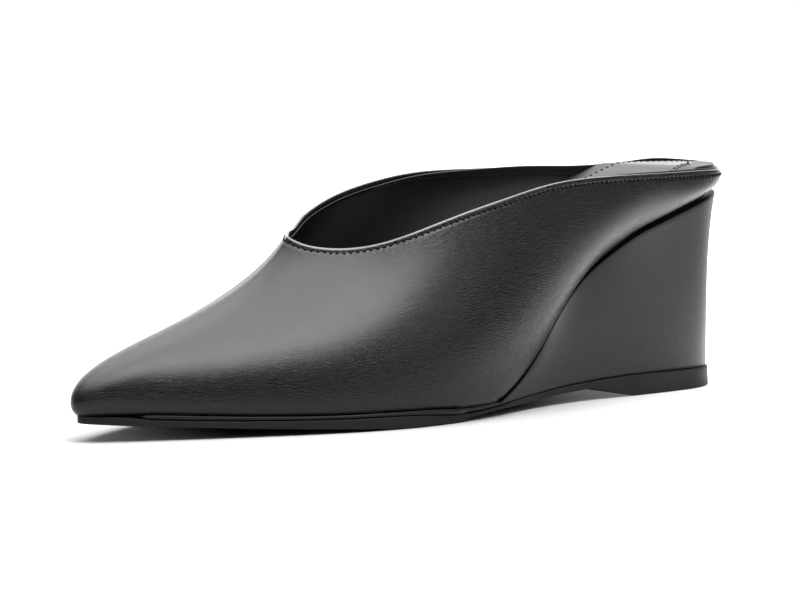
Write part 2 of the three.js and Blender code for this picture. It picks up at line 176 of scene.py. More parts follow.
# name: shape, place, point it faces, width, length (of a rectangle), watts
LAMPS = {
    "overhead": ("DISK", (-0.24, 0.20, 1.20), (-0.24, 0.20, 0), 2.15, 2.15, 52),
    "overhead_near": ("DISK", (0.32, -0.03, 1.19), (0.32, -0.03, 0), 0.95, 0.95, 10),
    "key": ("DISK", (0.62, 0.17, 0.95), (0, 0, 0.03), 0.7, 0.7, 3.6),
    "side": ("RECTANGLE", (1.08, 0.50, 0.53), (0, 0, 0.03), 0.9, 0.6, 1.8),
    "backdrop": ("RECTANGLE", tuple(-back.xy * 2.0) + (0.75,), (0, 0, 0.3), 3.4, 1.5, 24),
}
for name, (shape, at, to, wide, long, watts) in LAMPS.items():
    lamp = bpy.data.lights.new(name, "AREA")
    lamp.shape, lamp.size, lamp.energy = shape, wide, watts
    if shape == "RECTANGLE":
        lamp.size_y = long
    lit = bpy.data.objects.new(name, lamp)
    lit.location = at
    lit.rotation_euler = (Vector(at) - Vector(to)).to_track_quat("Z", "Y").to_euler()
    lit.visible_camera = False
    bpy.context.scene.collection.objects.link(lit)

# Upper: one piece of smooth black calf lasted over a pointed last, 1.1 mm thick, its collar
# rolled over and stitched to the lining, its lower edge turned under onto the sole.
# Ribs run from the foot edge to the collar, as in the part's own sections.
LENGTH, BALL, TOP, LIFT = 0.248, 0.040, 0.070, 0.0057
CENTRE = (0.00200, 0.12274)       # the part's middle in plan, from its own heel point
WALL, GAP = 0.0018, 0.0003
# fx fy foot edge, tx ty tz collar, up out bend above the foot edge, drop swell ahead at the collar
OUTER = [
    (0.000, 0.012, 0.000, -0.004, 0.978, 0.026, 0.020, 0.031, 0.000, -0.009),
    (0.205, 0.017, 0.215, 0.005, 0.969, 0.026, 0.020, 0.031, 0.003, -0.009),
    (0.370, 0.037, 0.382, 0.026, 0.968, 0.029, 0.026, 0.031, 0.006, -0.006),
    (0.510, 0.069, 0.545, 0.056, 0.974, 0.034, 0.037, 0.034, 0.009, 0.000),
    (0.570, 0.121, 0.650, 0.121, 0.979, 0.046, 0.060, 0.046, 0.009, 0.000),
    (0.590, 0.194, 0.715, 0.194, 0.984, 0.066, 0.077, 0.071, 0.014, 0.000),
    (0.570, 0.274, 0.750, 0.282, 0.987, 0.100, 0.150, 0.129, 0.018, 0.000),
    (0.680, 0.355, 0.795, 0.367, 0.973, 0.165, 0.135, 0.214, 0.030, 0.000),
    (0.850, 0.435, 0.805, 0.440, 0.927, 0.270, 0.095, 0.286, 0.050, 0.000),
    (0.980, 0.524, 0.750, 0.506, 0.870, 0.320, 0.060, 0.271, 0.100, 0.029),
    (0.985, 0.613, 0.630, 0.565, 0.800, 0.329, 0.034, 0.257, 0.136, 0.071),
    (0.875, 0.702, 0.480, 0.603, 0.754, 0.307, 0.037, 0.257, 0.121, 0.129),
    (0.680, 0.786, 0.330, 0.632, 0.737, 0.289, 0.043, 0.271, 0.100, 0.186),
    (0.460, 0.867, 0.200, 0.654, 0.741, 0.271, 0.051, 0.300, 0.071, 0.229),
    (0.250, 0.940, 0.095, 0.669, 0.757, 0.267, 0.069, 0.336, 0.037, 0.250),
    (0.000, 0.992, -0.015, 0.675, 0.780, 0.270, 0.120, 0.374, 0.000, 0.243)]
INNER = [
    (0.205, 0.017, 0.215, 0.005, 0.984, 0.026, 0.020, 0.031, 0.003, -0.009),
    (0.370, 0.037, 0.390, 0.025, 0.986, 0.029, 0.026, 0.031, 0.006, -0.006),
    (0.510, 0.069, 0.545, 0.056, 0.972, 0.034, 0.037, 0.034, 0.009, 0.000),
    (0.560, 0.121, 0.650, 0.121, 0.961, 0.046, 0.060, 0.046, 0.009, 0.000),
    (0.560, 0.194, 0.715, 0.194, 0.971, 0.066, 0.077, 0.071, 0.014, 0.000),
    (0.510, 0.274, 0.760, 0.282, 0.978, 0.109, 0.100, 0.129, 0.031, 0.000),
    (0.550, 0.355, 0.825, 0.367, 0.976, 0.186, 0.086, 0.214, 0.051, 0.000),
    (0.685, 0.435, 0.835, 0.440, 0.945, 0.300, 0.057, 0.286, 0.071, 0.000),
    (0.835, 0.524, 0.765, 0.508, 0.902, 0.343, 0.040, 0.286, 0.100, 0.029),
    (0.905, 0.613, 0.650, 0.565, 0.846, 0.334, 0.034, 0.286, 0.107, 0.071),
    (0.870, 0.702, 0.495, 0.601, 0.812, 0.317, 0.037, 0.297, 0.093, 0.129),
    (0.710, 0.786, 0.340, 0.629, 0.795, 0.303, 0.043, 0.309, 0.071, 0.186),
    (0.490, 0.867, 0.215, 0.651, 0.794, 0.321, 0.051, 0.343, 0.049, 0.229),
    (0.265, 0.940, 0.110, 0.666, 0.786, 0.300, 0.069, 0.370, 0.026, 0.250)]
# height of the foot edge by distance from the heel
EDGE = [(-0.010, 0.912), (0.020, 0.899), (0.040, 0.890), (0.065, 0.876), (0.097, 0.846),
        (0.145, 0.796), (0.194, 0.740), (0.234, 0.669), (0.274, 0.584), (0.310, 0.489),
        (0.347, 0.369), (0.383, 0.246), (0.419, 0.154), (0.448, 0.099), (0.464, 0.076),
        (0.484, 0.069), (0.532, 0.068), (0.590, 0.076), (0.632, 0.078), (0.706, 0.080),
        (0.800, 0.090), (0.867, 0.102), (0.919, 0.112), (1, 0.114)]


def curve(knots, scale):
    """Height by distance: cubic between knots, slope the weighted harmonic mean of the chords,
    level where two heights are equal."""
    x = np.array([k[0] for k in knots]) * LENGTH
    y = np.array([k[1] for k in knots]) * scale
    h, n = np.diff(x), len(x)
    d = np.diff(y) / h
    a, b = 2 * h[1:] + h[:-1], h[1:] + 2 * h[:-1]
    same = d[:-1] * d[1:] > 0
    safe = np.where(same, d[:-1], 1), np.where(same, d[1:], 1)
    m = np.r_[d[0], np.where(same, (a + b) / (a / safe[0] + b / safe[1]), 0), d[-1]]

    def height(q):
        i = np.clip(np.searchsorted(x, q) - 1, 0, n - 2)
        t = np.clip((q - x[i]) / h[i], 0, 1)
        return (y[i] * (1 + 2 * t) * (1 - t) ** 2 + h[i] * m[i] * t * (1 - t) ** 2
                + y[i + 1] * t * t * (3 - 2 * t) + h[i] * m[i + 1] * t * t * (t - 1))
    return height


def ring(points, rows):
    """Closed cubic through all rows, spaced by the root of the points' chords."""
    h = np.sqrt(np.linalg.norm(np.roll(points, -1, 0) - points, axis=1))
    n = len(rows)
    i = np.arange(n)
    lhs = np.zeros((n, n))
    lhs[i, i - 1], lhs[i, i], lhs[i, (i + 1) % n] = h[i - 1], 2 * (h[i - 1] + h), h
    jump = (np.roll(rows, -1, 0) - rows) / h[:, None]
    bend = np.linalg.solve(lhs, 6 * (jump - np.roll(jump, 1, 0)))

    def at(p):
        p = np.mod(p, n)
        i = np.minimum(p.astype(int), n - 1)
        j, hh = (i + 1) % n, h[i][..., None]
        u = (p - i)[..., None] * hh
        return (rows[i] + u * ((rows[j] - rows[i]) / hh - hh * (2 * bend[i] + bend[j]) / 6)
                + u * u * bend[i] / 2 + u ** 3 * (bend[j] - bend[i]) / (6 * hh))
    return at


edge = curve(EDGE, TOP)
UNIT = np.array([BALL, LENGTH, BALL, LENGTH, TOP, TOP, TOP, TOP, TOP, TOP])
HAND = np.array([-1, 1, -1, 1, 1, 1, 1, 1, -1, 1])
rows = np.vstack([np.array(OUTER) * UNIT, (np.array(INNER) * UNIT * HAND)[::-1]])
AROUND, TOE = len(rows), len(OUTER) - 1
section = ring(np.stack([rows[:, 0], rows[:, 1], edge(rows[:, 1])], 1), rows)


def plan_out(fn, p):
    """Level unit vector out of a closed plan path."""
    d = fn(p + 0.02)[..., :2] - fn(p - 0.02)[..., :2]
    n = np.stack([d[..., 1], -d[..., 0]], -1)
    return n / np.linalg.norm(n, axis=-1, keepdims=True)


def ribs(p, t):
    """Cubic from the foot edge to the collar: p places round the shoe, t from 0 to 1 up."""
    v, n = section(p), plan_out(section, p)
    f = np.stack([v[:, 0], v[:, 1], edge(v[:, 1])], 1)
    c = v[:, 2:5]
    a = f + np.stack([n[:, 0] * v[:, 6], n[:, 1] * v[:, 6], v[:, 5]], 1)
    b = c + np.stack([v[:, 8], v[:, 9], -v[:, 7]], 1)
    t = t[None, :, None]
    return (f[:, None] * (1 - t) ** 3 + a[:, None] * 3 * t * (1 - t) ** 2
            + b[:, None] * 3 * t * t * (1 - t) + c[:, None] * t ** 3)


def unit(v):
    return v / np.maximum(np.linalg.norm(v, axis=-1, keepdims=True), 1e-12)


def outward(p, t):
    """Unit vector out of the wall; level at the foot edge, square to the wall above it."""
    across = ribs(p + 0.03, t) - ribs(p - 0.03, t)
    rise = ribs(p, np.minimum(t + 0.02, 1)) - ribs(p, np.maximum(t - 0.02, 0))
    n = unit(np.cross(across, rise))
    level = np.concatenate([plan_out(section, p), np.zeros((len(p), 1))], 1)[:, None]
    n = n * np.where((n * level).sum(-1, keepdims=True) < -0.2, -1, 1)
    k = np.clip(t / 0.16, 0, 1)[None, :, None]
    k = k * k * (3 - 2 * k)
    return unit(level * (1 - k) + n * k)


def seat_in_frame(pts):
    """From the heel point's axes to the shared frame: toe to -Y."""
    return np.stack([pts[..., 0] - CENTRE[0], CENTRE[1] - pts[..., 1], pts[..., 2]], -1)


def sheet_mesh(name, pts, wrap, uv=None):
    """A grid of points as one mesh: wrap says for rows and for columns whether the last joins the
    first. Points come in the heel point's axes."""
    pts = seat_in_frame(pts)
    nu, nv = pts.shape[:2]
    ii, jj = np.meshgrid(np.arange(nu if wrap[0] else nu - 1), np.arange(nv if wrap[1] else nv - 1),
                         indexing="ij")
    i2, j2 = (ii + 1) % nu, (jj + 1) % nv
    quads = np.stack([ii * nv + jj, ii * nv + j2, i2 * nv + j2, i2 * nv + jj], -1).reshape(-1, 4)
    mesh = bpy.data.meshes.new(name)
    mesh.vertices.add(nu * nv)
    mesh.vertices.foreach_set("co", pts.reshape(-1))
    mesh.loops.add(quads.size)
    mesh.loops.foreach_set("vertex_index", quads.reshape(-1))
    mesh.polygons.add(len(quads))
    mesh.polygons.foreach_set("loop_start", np.arange(len(quads)) * 4)
    mesh.update(calc_edges=True)
    if uv is not None:
        i3, j3 = ii + 1, jj + 1
        corner = np.stack([uv[ii, jj], uv[ii, j3], uv[i3, j3], uv[i3, jj]], 2).reshape(-1, 2)
        mesh.uv_layers.new(name="UVMap").data.foreach_set("uv", corner.reshape(-1))
    mesh.polygons.foreach_set("use_smooth", np.ones(len(quads), bool))
    obj = bpy.data.objects.new(name, mesh)
    bpy.context.scene.collection.objects.link(obj)
    return obj


def tidy_mesh(obj, merge=1e-6):
    """Merges doubled points, drops flat faces and turns all faces outwards."""
    bm = bmesh.new()
    bm.from_mesh(obj.data)
    bmesh.ops.remove_doubles(bm, verts=bm.verts, dist=merge)
    bmesh.ops.dissolve_degenerate(bm, edges=bm.edges, dist=merge / 2)
    bmesh.ops.recalc_face_normals(bm, faces=bm.faces)
    bm.to_mesh(obj.data)
    bm.free()


def leather(name, tone, rough, grain, deep, cells, seam=None, polish=None):
    """Dyed smooth leather: grey-black dye that varies a little, pores and creases as bump (grain
    for the pores, deep for broad waves, cells to a metre), gloss that breaks up with the grain.
    seam adds stitch puckers and polish a glossy coat, both from the UV map."""
    m, shader, w = new_finish(name)
    spot = w.node("TexCoord", out=3)
    broad = w.node("TexNoise", Vector=spot, Scale=28.0, Detail=3.0)
    fine = w.node("TexNoise", Vector=spot, Scale=cells * 1.4, Detail=2.0)
    pore = w.node("TexVoronoi", {"feature": "SMOOTH_F1"}, Vector=spot, Scale=float(cells),
                  Smoothness=0.35)
    crease = w.node("TexVoronoi", {"feature": "DISTANCE_TO_EDGE"}, Vector=spot, Scale=cells * 0.7)
    skin = pore * 0.55 + fine * 0.3 + w.maths("MINIMUM", crease * 4.0, 0.25)
    dye = w.node("MixRGB", {"blend_type": "MIX"}, Fac=broad * 0.8 + fine * 0.2,
                 Color1=(*[c * 0.8 for c in tone], 1), Color2=(*[c * 1.25 for c in tone], 1))
    height = skin * grain + broad * deep
    if seam:
        height = height + seam(w)
    bump = w.node("Bump", Height=height, Distance=0.001, Strength=1.0)
    gloss = w.node("MapRange", Value=broad * 0.5 + pore * 0.5, From_Min=0.2, From_Max=0.7,
                   To_Min=rough - 0.05, To_Max=rough + 0.07)
    into(w, shader, Base_Color=dye, Roughness=gloss, Normal=bump, Specular_IOR_Level=0.36)
    if polish:
        into(w, shader, Coat_Weight=polish(w), Coat_Roughness=0.15)
    return m


ROUND = 900                       # points round the shoe
THICK = 0.0011                    # outer leather
ROLL_R = 0.00055                  # roll of the collar
STITCH_DOWN = 0.0013              # collar stitches below the collar's edge
STITCH_STEP = 0.00197             # from stitch to stitch, fitted to the collar's length
DENT, DENT_WIDE = 0.00022, 0.00045  # dip along the stitches: depth and half width
TUCK, TUCK_NEXT = 0.0006, 0.00012  # foot edge drawn in under the shoe, and the row above it
FINE_FROM = 0.90                  # share of the height from which the rows get closer
p = np.arange(ROUND) * AROUND / ROUND
t_low = np.linspace(0.0, FINE_FROM, 44)
t_high = 1 - (1 - FINE_FROM) * (1 - np.linspace(0, 1, 19)[1:]) ** 1.3
t = np.r_[t_low, t_high]
face, out = ribs(p, t), outward(p, t)
path = np.linalg.norm(np.diff(face, axis=1), axis=2)
down = np.concatenate([np.cumsum(path[:, ::-1], 1)[:, ::-1], np.zeros((ROUND, 1))], 1)
collar = face[:, -1]
run = np.r_[0, np.cumsum(np.linalg.norm(np.roll(collar, -1, 0) - collar, axis=1))]
PITCH = run[-1] / round(run[-1] / STITCH_STEP)
dent = DENT * np.exp(-((down - STITCH_DOWN) / DENT_WIDE) ** 2)
face = face - out * dent[..., None]
tip, n_top = unit(face[:, -1] - face[:, -2]), out[:, -1]
over = np.stack([face[:, -1] + tip * ROLL_R * math.sin(a) - n_top * ROLL_R * (1 - math.cos(a))
                 for a in np.linspace(0, math.pi, 9)[1:]], 1)
t_in = np.linspace(0.97, 0.0, 9)
inside = ribs(p, t_in) - outward(p, t_in) * THICK
level = np.concatenate([plan_out(section, p), np.zeros((ROUND, 1))], 1)
face[:, 0] = face[:, 0] - level * TUCK
face[:, 1] = face[:, 1] - level * TUCK_NEXT
skin_pts = np.concatenate([face, over, inside], 1)
# UV map: metres along the collar, and metres below it on the outer face, negative past the edge
gone = np.concatenate([down, -np.linspace(0.0003, 0.0018, 8)[None] * np.ones((ROUND, 1)),
                       -0.01 - np.arange(9)[None] * 0.005 * np.ones((ROUND, 1))], 1)
uv = np.stack([np.broadcast_to(run[:-1, None], gone.shape), gone], -1)
uv = np.concatenate([uv, np.stack([np.full(gone.shape[1], run[-1]), gone[0]], -1)[None]], 0)
uv = np.concatenate([uv, uv[:, :1]], 1)


PUCKER_DOWN, PUCKER_FADE, PUCKER = 0.0022, 0.0011, -0.07  # below the collar, fade, height in mm


def puckers(w):
    """Small pulls under each stitch: a wave along the collar that fades down the leather."""
    ahead = w.node("SeparateXYZ", Vector=w.node("UVMap", {"uv_map": "UVMap"}))
    below = Wire(w.tree, ahead.sock.node.outputs[1])
    wave = w.maths("COSINE", ahead * (2 * math.pi / PITCH))
    near = w.maths("EXPONENT", -w.maths("ABSOLUTE", below - PUCKER_DOWN) / PUCKER_FADE)
    slow = w.node("TexNoise", Vector=w.node("TexCoord", out=3), Scale=60.0, Detail=1.0)
    return wave * near * slow * PUCKER


def burnished(w):
    """1 on the rolled edge of the collar, 0 elsewhere, from the UV map."""
    below = w.node("SeparateXYZ", out=1, Vector=w.node("UVMap", {"uv_map": "UVMap"}))
    return w.node("MapRange", Value=w.maths("ABSOLUTE", below + 0.0004), From_Min=0.0006,
                  From_Max=0.0010, To_Min=1.0, To_Max=0.0)


upper = sheet_mesh("upper_leather", skin_pts, (True, True), uv)
calf = leather("black_calf", (0.0030, 0.0030, 0.0032), 0.18, 0.125, 0.08, 2200, puckers, burnished)
upper.data.materials.append(calf)
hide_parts("upper")
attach(upper, "root")

# Lining: thin black pigskin glued inside the leather, its edge trimmed just under the roll,
# so that a fine dark groove and a lighter line run round the inside of the collar. At the
# heel it stands a little above the roll.
LINING_PROUD = 0.00105            # how far above the roll, at the very back
HEEL_ROWS, FADE_ROWS = 5, 3       # rows each side of the back with all of it, and to none
LINING, LIP = 0.0006, 0.0003      # thickness, radius of its trimmed edge
LINING_ROUND = 540                # points round the shoe
p2 = np.arange(LINING_ROUND) * AROUND / LINING_ROUND
t2 = np.r_[np.linspace(0.02, 0.9, 26), np.linspace(0.9, 0.982, 6)[1:]]
base2, out2 = ribs(p2, t2), outward(p2, t2)
near_in, far_in = base2 - out2 * WALL, base2 - out2 * (WALL - LINING)
lip_n, lip_t = out2[:, -1], unit(base2[:, -1] - base2[:, -2])
from_heel = np.minimum(p2, AROUND - p2)
fade = np.clip((from_heel - HEEL_ROWS) / FADE_ROWS, 0, 1)
proud = LINING_PROUD * (0.5 + 0.5 * np.cos(fade * math.pi))
lift = (lip_t * proud[:, None])[:, None]
near_in = np.concatenate([near_in, near_in[:, -1:] + lift], 1)
far_in = np.concatenate([far_in[:, ::2], far_in[:, -1:], far_in[:, -1:] + lift], 1)
lip = np.stack([near_in[:, -1] + lip_n * LIP * (1 - math.cos(a)) + lip_t * LIP * math.sin(a)
                for a in np.linspace(0, math.pi, 6)[1:-1]], 1)
lining = sheet_mesh("lining", np.concatenate([near_in, lip, far_in[:, ::-1]], 1), (True, True))
pigskin = leather("lining_skin", (0.006, 0.006, 0.006), 0.32, 0.02, 0.05, 1600)
lining.data.materials.append(pigskin)
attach(lining, "root")

# Collar stitches: black thread through leather and lining, about 2 mm apart, each one sunk a
# little between its holes. Each stitch is a short pinched capsule laid along the collar.
THREAD_R = 0.00028
SLANT = math.radians(28)          # of a stitch against its line
STITCH_LONG = 0.72                # of a collar stitch, as a share of the pitch
INNER_DOWN = 0.0006               # the lining's row lies this much lower
RINGS, SIDES = 7, 6               # rings along a stitch, points round it


def stitch_run(name, centres, ways, outs, long, radius, finish):
    """Capsules: rings of points along each stitch, thick in the middle, dipping at the ends."""
    s = np.linspace(-1, 1, RINGS)
    thick = radius * np.sqrt(np.maximum(1 - np.abs(s) ** 3, 0.02))
    sink = -radius * 1.5 * np.abs(s) ** 2.5
    a = np.arange(SIDES) * 2 * math.pi / SIDES
    lift = np.cross(ways, outs)
    ways, lift = (ways * math.cos(SLANT) - lift * math.sin(SLANT),
                  lift * math.cos(SLANT) + ways * math.sin(SLANT))
    spine = (centres[:, None] + ways[:, None] * (s * long / 2)[None, :, None]
             + outs[:, None] * sink[None, :, None])
    round_it = (outs[:, None, None] * np.cos(a)[None, None, :, None]
                + lift[:, None, None] * np.sin(a)[None, None, :, None])
    tube = spine[:, :, None] + round_it * thick[None, :, None, None]
    n = len(centres)
    v = seat_in_frame(tube).reshape(-1, 3)
    k, i, j = np.meshgrid(np.arange(n), np.arange(RINGS - 1), np.arange(SIDES), indexing="ij")
    base, turn = k * RINGS * SIDES + i * SIDES, (j + 1) % SIDES
    quads = np.stack([base + j, base + turn, base + SIDES + turn, base + SIDES + j], -1)
    first = np.arange(n)[:, None] * RINGS * SIDES
    caps = np.concatenate([first + np.arange(SIDES)[::-1],
                           first + (RINGS - 1) * SIDES + np.arange(SIDES)])
    mesh = bpy.data.meshes.new(name)
    mesh.from_pydata(v.tolist(), [], quads.reshape(-1, 4).tolist() + caps.tolist())
    mesh.polygons.foreach_set("use_smooth", np.ones(len(mesh.polygons), bool))
    obj = bpy.data.objects.new(name, mesh)
    bpy.context.scene.collection.objects.link(obj)
    obj.data.materials.append(finish)
    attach(obj, "root")
    tidy_mesh(obj)
    return obj


def thread(name, tone):
    """Dull thread: fine twist as bump."""
    m, shader, w = new_finish(name)
    twist = w.node("TexWave", {"bands_direction": "DIAGONAL"}, Vector=w.node("TexCoord", out=3),
                   Scale=1200.0, Distortion=0.5)
    bump = w.node("Bump", Height=twist, Distance=0.00005, Strength=0.5)
    into(w, shader, Base_Color=(*tone, 1), Roughness=0.7, Specular_IOR_Level=0.15, Normal=bump)
    return m


count = int(round(run[-1] / PITCH))
at_run = (np.arange(count) + 0.5) * PITCH
p_st = np.interp(at_run, run, np.r_[p, AROUND])
black_thread = thread("black_thread", (0.003, 0.003, 0.003))


def collar_line(inwards, below):
    """Points, directions and outward vectors of a line that follows the collar."""
    tt = np.linspace(0.6, 1, 60)
    g, o = ribs(p_st, tt), outward(p_st, tt)
    seg = np.linalg.norm(np.diff(g, axis=1), axis=2)
    dist = np.concatenate([np.cumsum(seg[:, ::-1], 1)[:, ::-1], np.zeros((len(p_st), 1))], 1)
    j = np.argmin(np.abs(dist - below), axis=1)
    k = np.arange(len(p_st))
    c, n = g[k, j] - o[k, j] * inwards, o[k, j]
    way = unit(np.roll(c, -1, 0) - np.roll(c, 1, 0))
    n = unit(n - way * (n * way).sum(1, keepdims=True))
    return c, way, n


SUNK, RAISED = 0.00006, 0.00004   # of the threads' middles against the faces they lie on
LONG = PITCH * STITCH_LONG
c, way, n = collar_line(SUNK, STITCH_DOWN)
stitches = stitch_run("collar_stitches", c, way, n, LONG, THREAD_R, black_thread)
c, way, n = collar_line(WALL + RAISED, STITCH_DOWN + INNER_DOWN)
inner_stitches = stitch_run("lining_stitches", c, way, -n, LONG, THREAD_R, black_thread)

# Insole: smooth leather sock over a thin pad, crowned under the heel, its edge rolled, lying
# against the lining all round.
SEAT = [(-0.01, 0.980), (0.09, 0.980), (0.113, 0.957), (0.137, 0.924), (0.165, 0.889),
        (0.20, 0.836), (0.242, 0.754), (0.274, 0.680), (0.310, 0.580), (0.347, 0.469),
        (0.383, 0.351), (0.419, 0.259), (0.452, 0.193), (0.484, 0.154), (0.524, 0.131),
        (0.605, 0.129), (0.706, 0.136), (0.827, 0.150), (0.919, 0.160), (1.000, 0.160)]
PAD = [(-0.01, 0.023), (0.03, 0.023), (0.07, 0.021), (0.11, 0.017), (0.15, 0.012), (0.25, 0.004),
       (0.40, 0), (1.00, 0)]
seat, pad = curve(SEAT, TOP), curve(PAD, TOP)
EDGE_R = 0.0005                   # of the sock's edge
SOCK_HALF, TILT = 0.024, 1.0      # half width at the heel, share of the pad lost across it
ACROSS = 0.5 - 0.5 * np.cos(np.linspace(0, math.pi, 72))  # shares of the width, closer at edges
SOCK_CLEAR, RIM_STEPS = WALL + GAP + 0.0001, 90  # off the ribs, points tried up the wall
MERGE = 2e-6                      # points nearer than this are one


def sock_top(x, y):
    """Height of the sock: its seat and a pad that thins evenly towards the inner side."""
    return seat(y) + pad(y) * (1 - TILT / 2 * (1 - np.clip(x / SOCK_HALF, -1, 1)))


def blend(a, b, shares):
    """Straight rows of points from each point of a to its partner of b."""
    return a[:, None] * (1 - shares)[None, :, None] + b[:, None] * shares[None, :, None]


def crowned(left, right, lift, radius):
    """A sheet at a height above the sock's top between two lines, its edge rolled all round."""
    sheet = blend(left, right, ACROSS)
    border = np.concatenate([left[::-1], right[1:]])[:, :2]
    off = np.stack([np.linalg.norm(row[:, None, :2] - border[None], axis=2).min(1)
                    for row in sheet])
    roll = radius - np.sqrt(radius ** 2 - np.maximum(radius - off, 0) ** 2)
    sheet[..., 2] = sock_top(sheet[..., 0], sheet[..., 1]) + lift - roll
    return sheet


def insole_rim(p):
    """Where the inside of the wall meets the insole's height, and the way down from there."""
    t = np.linspace(0, 1, RIM_STEPS)
    g = ribs(p, t) - outward(p, t) * SOCK_CLEAR
    over = g[..., 2] - seat(g[..., 1])
    hit = np.where((over >= 0).any(1), (over >= 0).argmax(1), RIM_STEPS - 1)
    k = np.arange(len(p))
    j = np.maximum(hit, 1)
    a, b = over[k, j - 1], over[k, j]
    f = np.clip(np.where(np.abs(b - a) > 1e-9, -a / (b - a), 1), 0, 1)[:, None]
    top = g[k, j - 1] * (1 - f) + g[k, j] * f
    return top, g[k, np.maximum(j // 2, 1)], g[k, 0]


q = np.r_[np.linspace(0, 3, 60), np.linspace(3, 13, 150)[1:], np.linspace(13, TOE, 50)[1:]]
top_o, mid_o, low_o = insole_rim(q)
top_i, mid_i, low_i = insole_rim(AROUND - q)
flat = crowned(top_o, top_i, 0, EDGE_R)
under = blend(low_o, low_i, ACROSS[::-7])
sock = np.concatenate([mid_o[:, None], flat, mid_i[:, None], under], 1)
insole = sheet_mesh("insole_sock", sock, (False, True))
tidy_mesh(insole, MERGE)
sock_skin = leather("sock_skin", (0.010, 0.010, 0.0103), 0.36, 0.020, 0.03, 1800)
insole.data.materials.append(sock_skin)
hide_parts("insole")
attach(insole, "root")

# Sock panel: a thinner, glossier piece of the same leather sewn on the middle of the sock
# parallel to its border, its edge rolled, with one row of the collar's thread just inside.
PANEL_IN, PANEL_TO = 0.0070, 0.190  # in from the sock's border, reach from the heel
PANEL_THICK = 0.0003
HEM, HEM_THREAD, HEM_LONG = 0.0011, 0.00022, 0.75  # inset, radius, stitch as share of the pitch
q_panel = q[section(q)[:, 1] < PANEL_TO]


def inset(p, rim, far):
    """The sock's rim moved inwards in plan."""
    line = rim[:len(p)].copy()
    line[:, :2] -= plan_out(section, p) * far
    return line


left = inset(q_panel, top_o, PANEL_IN)
right = inset(AROUND - q_panel, top_i, PANEL_IN)
right[0] = left[0]
sheet = crowned(left, right, PANEL_THICK, PANEL_THICK)
drop = np.array([0, 0, PANEL_THICK * 2])
sheet = np.concatenate([sheet[:, :1] - drop, sheet, sheet[:, -1:] - drop], 1)
sheet = np.concatenate([sheet, sheet[-1:] - drop], 0)
panel = sheet_mesh("sock_panel", sheet, (False, False))
tidy_mesh(panel, MERGE)
panel_skin = leather("panel_skin", (0.022, 0.022, 0.0225), 0.20, 0.010, 0.03, 1800)
panel.data.materials.append(panel_skin)
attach(panel, "root")
near = inset(q_panel, top_o, PANEL_IN + HEM)
far = inset(AROUND - q_panel, top_i, PANEL_IN + HEM)
hem = np.concatenate([near[::-1], far[1:]])[:, :2]
walked = np.r_[0, np.cumsum(np.linalg.norm(np.diff(hem, axis=0), axis=1))]
places = np.arange(PITCH / 2, walked[-1], PITCH)
hem = np.stack([np.interp(places, walked, hem[:, k]) for k in (0, 1)], 1)
height = sock_top(hem[:, 0], hem[:, 1]) + PANEL_THICK + RAISED
hem = np.concatenate([hem, height[:, None]], 1)
way = unit(np.gradient(hem, axis=0))
top = unit(np.cross(np.cross(way, [0, 0, 1.0]), way))
hem_stitches = stitch_run("panel_stitches", hem, way, top, PITCH * HEM_LONG, HEM_THREAD, black_thread)

# Wedge: a moulded core covered in smooth matte black leather, waisted up the back, its top
# rim rolled and standing a little proud of the upper above a fine shadow gap.
SOLE = [(0.000, 0.000, 0.025), (0.190, 0.190, 0.028), (0.345, 0.345, 0.042), (0.475, 0.475, 0.071),
        (0.540, 0.530, 0.121), (0.560, 0.530, 0.194), (0.580, 0.510, 0.274), (0.650, 0.540, 0.355),
        (0.795, 0.665, 0.435), (0.940, 0.815, 0.524), (0.980, 0.900, 0.613), (0.875, 0.870, 0.702),
        (0.680, 0.710, 0.786), (0.465, 0.495, 0.867), (0.252, 0.265, 0.938), (0.000, 0.000, 0.986)]
SOLE_TOP = [(-0.010, 1), (0.030, 1.020), (0.077, 1.080), (0.119, 1.130), (0.155, 1.145),
            (0.206, 1.135), (0.241, 1.100), (0.276, 1.035), (0.312, 0.960), (0.351, 0.850),
            (0.392, 0.750), (0.426, 0.660), (0.455, 0.560), (0.487, 0.470), (0.519, 0.430),
            (0.545, 0.460), (0.588, 0.590), (0.632, 0.660), (0.700, 0.700), (0.760, 0.760),
            (0.827, 0.860), (0.919, 1.090), (0.944, 1.250), (0.968, 1.316), (1, 1.368)]
SOLE_LOW = [(-0.010, 0), (0.195, 0), (0.224, 0.280), (0.250, 0.500), (0.274, 0.645),
            (0.294, 0.625), (0.351, 0.500), (0.392, 0.420), (0.437, 0.360), (0.487, 0.270),
            (0.519, 0.160), (0.552, 0), (0.612, 0), (0.660, 0.100), (0.726, 0.250), (0.827, 0.491),
            (0.919, 0.737), (0.968, 0.895), (1, 0.982)]
WEDGE_END = 0.1146                # its front end's distance from the heel
PROUD, BEVEL, RIM_R = 0.0005, 0.0019, 0.0003  # past the upper, ledge under it, roll of the rim
GROOVE, GROOVE_LESS = 0.0020, 0.0013  # height of the shadow gap at the back, less at the tip
FOOT_IN, HEEL_IN, HEEL_RUN = 0.0002, 0.0005, 0.03  # in from the sole, more at the back, over this
WAIST = 3.6                       # how late the wall flares out to its rim
sole_top, sole_low = curve(SOLE_TOP, LIFT), curve(SOLE_LOW, LIFT)
S = np.array(SOLE)
plan = np.vstack([np.stack([S[:, 0] * BALL, S[:, 2] * LENGTH], 1),
                  np.stack([-S[1:-1, 1] * BALL, S[1:-1, 2] * LENGTH], 1)[::-1]])
sole_at = ring(plan, plan)


def row_at(y):
    """Place round the outer side at a given distance from the heel."""
    q = np.linspace(1, TOE, 4000)
    return float(np.interp(y, section(q)[:, 1], q))


def join(xy, z):
    """Points from their places in plan and their heights."""
    return np.concatenate([xy, z[..., None]], -1)


